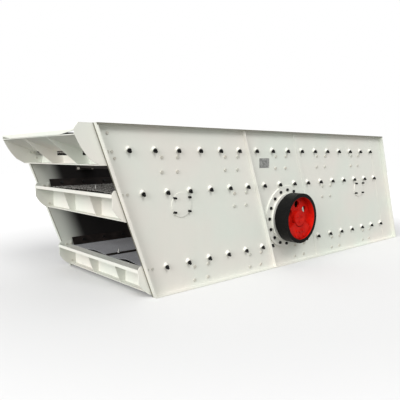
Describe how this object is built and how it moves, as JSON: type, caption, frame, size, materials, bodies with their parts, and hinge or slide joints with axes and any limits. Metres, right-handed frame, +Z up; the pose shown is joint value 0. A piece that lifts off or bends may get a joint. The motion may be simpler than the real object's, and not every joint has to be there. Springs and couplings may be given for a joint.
{
  "type": "vibrating screen",
  "caption": "Multi-deck vibrating screen with leaning side plates, side-tensioned screen meshes, end lips and a belt-driven eccentric exciter.",
  "frame": {"origin": "centre of the footprint, on the surface that the side plates stand on", "axes": "+X along the decks towards the discharge end, +Y across the decks to the far side plate, +Z up"},
  "size_m": [5.972, 2.336, 1.722],
  "materials": {
    "body_paint": "satin warm grey paint",
    "beam_paint": "satin warm grey paint, dusty",
    "black_paint": "satin black paint",
    "dark_primer": "matt brown-black primer",
    "wheel_paint": "gloss red web and black rim",
    "screen_wire": "oiled woven wire",
    "black_bolt": "black oxide",
    "bright_bolt": "zinc plated",
    "painted_bolt": "satin warm grey paint",
    "washer_steel": "satin grey",
    "deck_rubber": "matt",
    "bearing_steel": "ground",
    "shaft_steel": "turned",
    "nameplate_metal": "brushed"
  },
  "bodies": {
    "frame": {"beam_bolts": "painted_bolt", "bearing_covers": "black_paint", "bearing_outer_rings": "bearing_steel", "bottom_bar_caps": "deck_rubber", "bottom_cross_beams": "beam_paint", "bottom_deck_bars": "beam_paint", "bottom_lip_gussets": "body_paint", "bottom_lip_shell": "body_paint", "bottom_screen_mesh": "screen_wire", "discharge_lips": "body_paint", "exciter_tube": "beam_paint", "far_bearing_housing": "black_paint", "far_bolt_wedges": "washer_steel", "far_edge_flanges": "body_paint", "far_ribs": "body_paint", "far_side_plate": "body_paint", "far_tension_bolts": "black_bolt", "far_tension_nuts": "black_bolt", "far_tension_rails": "dark_primer", "far_tube_flange": "body_paint", "hold_down_bars": "dark_primer", "hold_down_bolts": "bright_bolt", "housing_bolts": "black_bolt", "lip_bolts": "painted_bolt", "load_tubes": "beam_paint", "middle_bar_caps": "deck_rubber", "middle_cross_beams": "beam_paint", "middle_deck_bars": "beam_paint", "middle_lip_gussets": "body_paint", "middle_lip_shell": "body_paint", "middle_screen_mesh": "screen_wire", "mount_pads": "body_paint", "mount_studs": "black_bolt", "nameplate": "nameplate_metal", "near_bearing_housing": "black_paint", "near_bolt_wedges": "washer_steel", "near_edge_flanges": "body_paint", "near_ribs": "body_paint", "near_side_plate": "body_paint", "near_tension_bolts": "black_bolt", "near_tension_nuts": "black_bolt", "near_tension_rails": "dark_primer", "near_tube_flange": "body_paint", "top_bar_caps": "deck_rubber", "top_cross_beams": "beam_paint", "top_deck_bars": "beam_paint", "top_lip_gussets": "body_paint", "top_lip_shell": "body_paint", "top_lip_strip": "body_paint", "top_screen_mesh": "screen_wire", "tube_flange_bolts": "black_bolt"},
    "rotor": {"exciter_shaft": "shaft_steel", "bearing_inner_rings": "bearing_steel", "near_belt_wheel": "wheel_paint", "far_belt_wheel": "wheel_paint", "eccentric_weights": "wheel_paint", "hub_caps": "wheel_paint", "rotor_bolts": "wheel_paint"},
    "near_rollers": {"near_bearing_rollers": "bearing_steel"},
    "far_rollers": {"far_bearing_rollers": "bearing_steel"}
  },
  "joints": [
    {"name": "exciter_spin", "type": "hinge", "parent": "frame", "child": "rotor", "pos_m": [-0.044, 0, 0.632], "axis": [0, 1, 0], "continuous": true},
    {"name": "near_rollers_spin", "type": "hinge", "parent": "frame", "child": "near_rollers", "pos_m": [-0.044, 0, 0.632], "axis": [0, 1, 0], "continuous": true},
    {"name": "far_rollers_spin", "type": "hinge", "parent": "frame", "child": "far_rollers", "pos_m": [-0.044, 0, 0.632], "axis": [0, 1, 0], "continuous": true}
  ],
  "couplings": [
    {"joint": "near_rollers_spin", "follows": "exciter_spin", "ratio": 0.4145},
    {"joint": "far_rollers_spin", "follows": "exciter_spin", "ratio": 0.4145}
  ]
}
